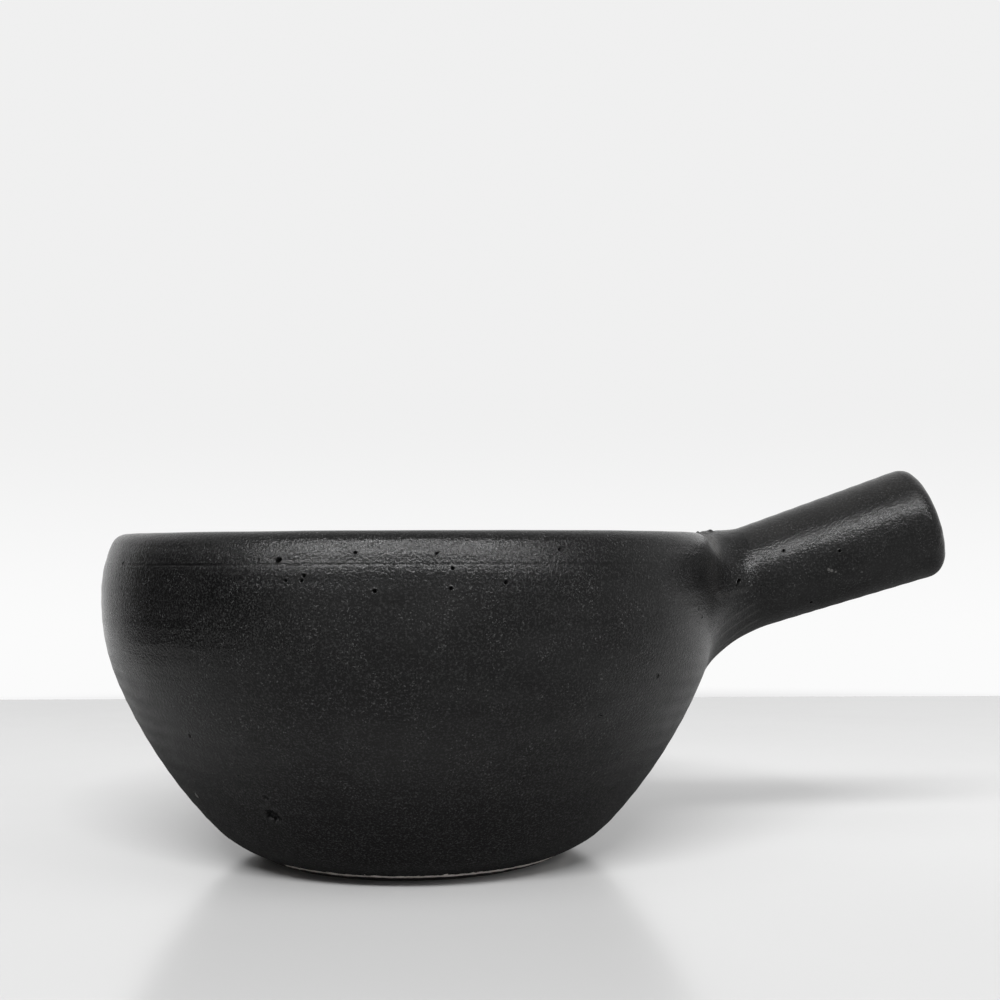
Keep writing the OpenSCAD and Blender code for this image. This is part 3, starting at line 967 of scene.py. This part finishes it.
def make_clay():
    """Bare fired clay: pale, matte and gritty."""
    material, tree, shader, place = new_material("bare_clay")
    clouds = noise_at(tree, place, 60, 4)
    grit = noise_at(tree, place, 1300, 3)
    cells = add_node(tree, "ShaderNodeTexVoronoi", {"Vector": place, "Scale": 700.0})
    chosen = band(tree, cells.outputs["Color"], 0.66, 0.72)
    grog = maths(tree, "MULTIPLY", band(tree, cells.outputs["Distance"], 0.30, 0.16), chosen)
    tone = mix_colours(tree, band(tree, clouds, 0.35, 0.65), CLAY_DARK, CLAY_LIGHT)
    tone = mix_colours(tree, band(tree, grit, 0.5, 0.75, 0.0, 0.3), tone, CLAY_GRIT)
    tone = mix_colours(tree, maths(tree, "MULTIPLY", grog, 0.6), tone, CLAY_GROG)
    # Shade is painted dark into the undercut below the ring's outer edge, and glaze has run over parts of the
    # edge
    split = add_node(tree, "ShaderNodeSeparateXYZ", {"Vector": place}).outputs
    ragged = maths(tree, "MULTIPLY", noise_at(tree, place, 300, 3), 0.0008)
    low = band(tree, maths(tree, "ADD", split["Z"], ragged), 0.0021, 0.0018)
    squares = [maths(tree, "POWER", split[axis], 2.0) for axis in "XY"]
    radius = maths(tree, "POWER", maths(tree, "ADD", *squares), 0.5)
    undercut_shade_and_glaze = maths(tree, "MULTIPLY", low, band(tree, radius, *UNDERCUT_SHADE_RADII))
    run_over = add_node(tree, "ShaderNodeAttribute", attribute_name="glaze_marks_and_shade").outputs["Fac"]
    outer_edge = band(tree, radius, *RUN_OVER_RADII)
    glazed = maths(tree, "MULTIPLY", band(tree, run_over, -0.3, -0.7), outer_edge)
    undercut_shade_and_glaze = maths(tree, "MAXIMUM", undercut_shade_and_glaze, glazed)
    tone = mix_colours(tree, undercut_shade_and_glaze, tone, CLAY_UNDERCUT_SHADE_AND_GLAZE)
    tree.links.new(tone, shader.inputs["Base Color"])
    tree.links.new(band(tree, grit, 0.3, 0.7, 0.78, 0.92), shader.inputs["Roughness"])
    shader.inputs["Specular IOR Level"].default_value = 0.3
    tree.links.new(bumps(tree, [(grit, 0.00012), (grog, 0.00005)]), shader.inputs["Normal"])
    return material


# Stage: a pale glossy table in a pale room, whose front and dark left side only reflections show
# Camera: place, lens and sensor in millimetres, pitch and roll in radians
CAMERA_AT = (25.82, -420.06, 87.41)
CAMERA_LENS = 50.54
CAMERA_SENSOR = 36.0
CAMERA_PITCH = 0.0375
CAMERA_ROLL = -0.0038
# Edges of the table in metres
TABLE_BACK = 0.43
TABLE_LEFT = -0.31
TABLE_RIGHT = 4.0
TABLE_FRONT = -4.0
# Brightness of the room at table level and higher up, and of its light on matte surfaces
ROOM_LOW = 0.965
ROOM_HIGH = 0.87
ROOM_FILL = 0.16
# Brightness of the room's front and of its left side in reflections
ROOM_FRONT = 1.15
ROOM_LEFT = 0.06
# Brightness of the room just above the table's back edge
ROOM_FOOT = 0.80
# Rise of a line of sight over which the room goes from low to high, meets its foot, and ends at the top
# of its front and left side; and how far to the front and to the left those two start
ROOM_RISE = (-0.06, 0.11)
ROOM_FOOT_RISE = (-0.093, -0.104)
ROOM_TOP_RISE = (0.52, 0.36)
ROOM_FRONT_WAY = (-0.25, -0.60)
ROOM_LEFT_WAY = (-0.70, -0.86)
# Brightness of the table at its back edge, in its back, in front, and still nearer, under the lamps
TABLE_TONES = (0.95, 0.95, 0.69, 0.50)
# Depths in metres over which the table's front, the part under the lamps and its back edge come in
TABLE_FRONT_FADE = (0.10, -0.16)
TABLE_LAMP_FADE = (-0.18, -0.50)
TABLE_EDGE_FADE = (0.385, 0.42)
# Lamps: name, width and height in metres, brightness, distance, degrees of rise and of swing,
# and whether only glossy surfaces show the lamp or only matte ones
LAMPS = (
    ("strip_lamp", 0.80, 0.14, 39.0, 1.2, 41.0, -4.0, False),
    ("strip_glow", 2.2, 0.08, 76.0, 1.2, 41.0, -1.0, True),
    ("side_lamp", 1.2, 0.8, 2.2, 1.6, 24.0, 68.0, False),
    ("high_lamp", 1.6, 0.5, 1.0, 0.9, 60.0, 0.0, False),
)


def make_camera():
    """The camera of the main view."""
    data = bpy.data.cameras.new("camera")
    data.sensor_width = CAMERA_SENSOR
    data.lens = CAMERA_LENS
    camera = bpy.data.objects.new("camera", data)
    bpy.context.scene.collection.objects.link(camera)
    level = Vector((1, 0, 0))
    ahead = Vector((0, math.cos(CAMERA_PITCH), math.sin(CAMERA_PITCH)))
    above = level.cross(ahead)
    right = level * math.cos(CAMERA_ROLL) + above * math.sin(CAMERA_ROLL)
    top = above * math.cos(CAMERA_ROLL) - level * math.sin(CAMERA_ROLL)
    turned = Matrix((right, top, -ahead)).transposed().to_4x4()
    camera.matrix_world = Matrix.Translation(Vector(CAMERA_AT) * MM) @ turned
    bpy.context.scene.camera = camera


def make_table():
    """The pale glossy table."""
    corners = [
        (TABLE_LEFT, TABLE_FRONT, 0), (TABLE_RIGHT, TABLE_FRONT, 0),
        (TABLE_RIGHT, TABLE_BACK, 0), (TABLE_LEFT, TABLE_BACK, 0),
    ]
    mesh = bpy.data.meshes.new("table")
    mesh.from_pydata(corners, [], [(0, 1, 2, 3)])
    material, tree, shader, place = new_material("pale_table")
    haze = noise_at(tree, place, 9, 3)
    depth = add_node(tree, "ShaderNodeSeparateXYZ", {"Vector": place}).outputs["Y"]
    edge_tone, back_tone, front_tone, lamp_tone = (grey(level) for level in TABLE_TONES)
    tone = mix_colours(tree, band(tree, depth, *TABLE_FRONT_FADE), back_tone, front_tone)
    tone = mix_colours(tree, band(tree, depth, *TABLE_LAMP_FADE), tone, lamp_tone)
    tone = mix_colours(tree, band(tree, depth, *TABLE_EDGE_FADE), tone, edge_tone)
    tone = mix_colours(tree, band(tree, haze, 0.3, 0.7, 0.0, 0.03), tone, grey(0.5))
    tree.links.new(tone, shader.inputs["Base Color"])
    tree.links.new(band(tree, haze, 0.3, 0.7, 0.17, 0.22), shader.inputs["Roughness"])
    mesh.materials.append(material)
    table = bpy.data.objects.new("table", mesh)
    bpy.context.scene.collection.objects.link(table)


def make_room():
    """The pale room: its backdrop, what reflections show of it, and its light on matte surfaces."""
    world = bpy.data.worlds.new("room")
    bpy.context.scene.world = world
    world.use_nodes = True
    tree = world.node_tree
    background = tree.nodes["Background"]
    way = add_node(tree, "ShaderNodeTexCoord").outputs["Generated"]
    split = add_node(tree, "ShaderNodeSeparateXYZ", {"Vector": way}).outputs
    rise = split["Z"]
    backdrop = mix_colours(tree, band(tree, rise, *ROOM_RISE), grey(ROOM_LOW), grey(ROOM_HIGH))
    backdrop = mix_colours(tree, band(tree, rise, *ROOM_FOOT_RISE), backdrop, grey(ROOM_FOOT))
    low = band(tree, rise, *ROOM_TOP_RISE)
    front = maths(tree, "MULTIPLY", low, band(tree, split["Y"], *ROOM_FRONT_WAY))
    left = maths(tree, "MULTIPLY", low, band(tree, split["X"], *ROOM_LEFT_WAY))
    mirror = mix_colours(tree, front, backdrop, grey(ROOM_FRONT))
    mirror = mix_colours(tree, left, mirror, grey(ROOM_LEFT))
    rays = add_node(tree, "ShaderNodeLightPath").outputs
    mirrored = maths(tree, "MAXIMUM", rays["Is Glossy Ray"], rays["Is Transmission Ray"])
    light = mix_colours(tree, mirrored, grey(ROOM_FILL), mirror)
    light = mix_colours(tree, rays["Is Camera Ray"], light, backdrop)
    tree.links.new(light, background.inputs["Color"])
    background.inputs["Strength"].default_value = 1.0


def make_lamps(pieces):
    """The lamps; the glow that only gloss shows is linked to the pot, so that the table keeps clear of it."""
    pot = bpy.data.collections.new("pot")
    for piece in pieces:
        pot.objects.link(piece)
    for name, width, height, level, distance, rise, swing, in_gloss in LAMPS:
        data = bpy.data.lights.new(name, "AREA")
        data.shape = "RECTANGLE"
        data.size = width
        data.size_y = height
        data.energy = level * math.pi * width * height
        lamp = bpy.data.objects.new(name, data)
        bpy.context.scene.collection.objects.link(lamp)
        lamp.visible_camera = False
        lamp.visible_glossy = in_gloss
        lamp.visible_diffuse = not in_gloss
        if in_gloss:
            lamp.light_linking.receiver_collection = pot
        rise = math.radians(rise)
        swing = math.radians(swing)
        level_way = Vector((math.sin(swing), -math.cos(swing), 0))
        towards = level_way * math.cos(rise) + Vector((0, 0, math.sin(rise)))
        lamp.location = Vector((0, 0, BELLY_H * MM)) + towards * distance
        lamp.rotation_mode = "QUATERNION"
        lamp.rotation_quaternion = towards.to_track_quat("Z", "Y")


make_camera()
make_table()
make_room()
glaze = make_glaze()
clay = make_clay()
pot_pieces = (
    (make_bowl(glaze, clay), "bowl", "black_glaze"),
    (make_foot(clay), "foot_ring", "bare_clay"),
    (make_handle(glaze), "handle", "black_glaze"),
    (make_coil(glaze), "luting_coil", "black_glaze"),
)
for piece, node, slot in pot_pieces:
    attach(piece, "root")
    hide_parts(node)
make_lamps([piece for piece, node, slot in pot_pieces])
bpy.context.scene.view_settings.view_transform = "Standard"
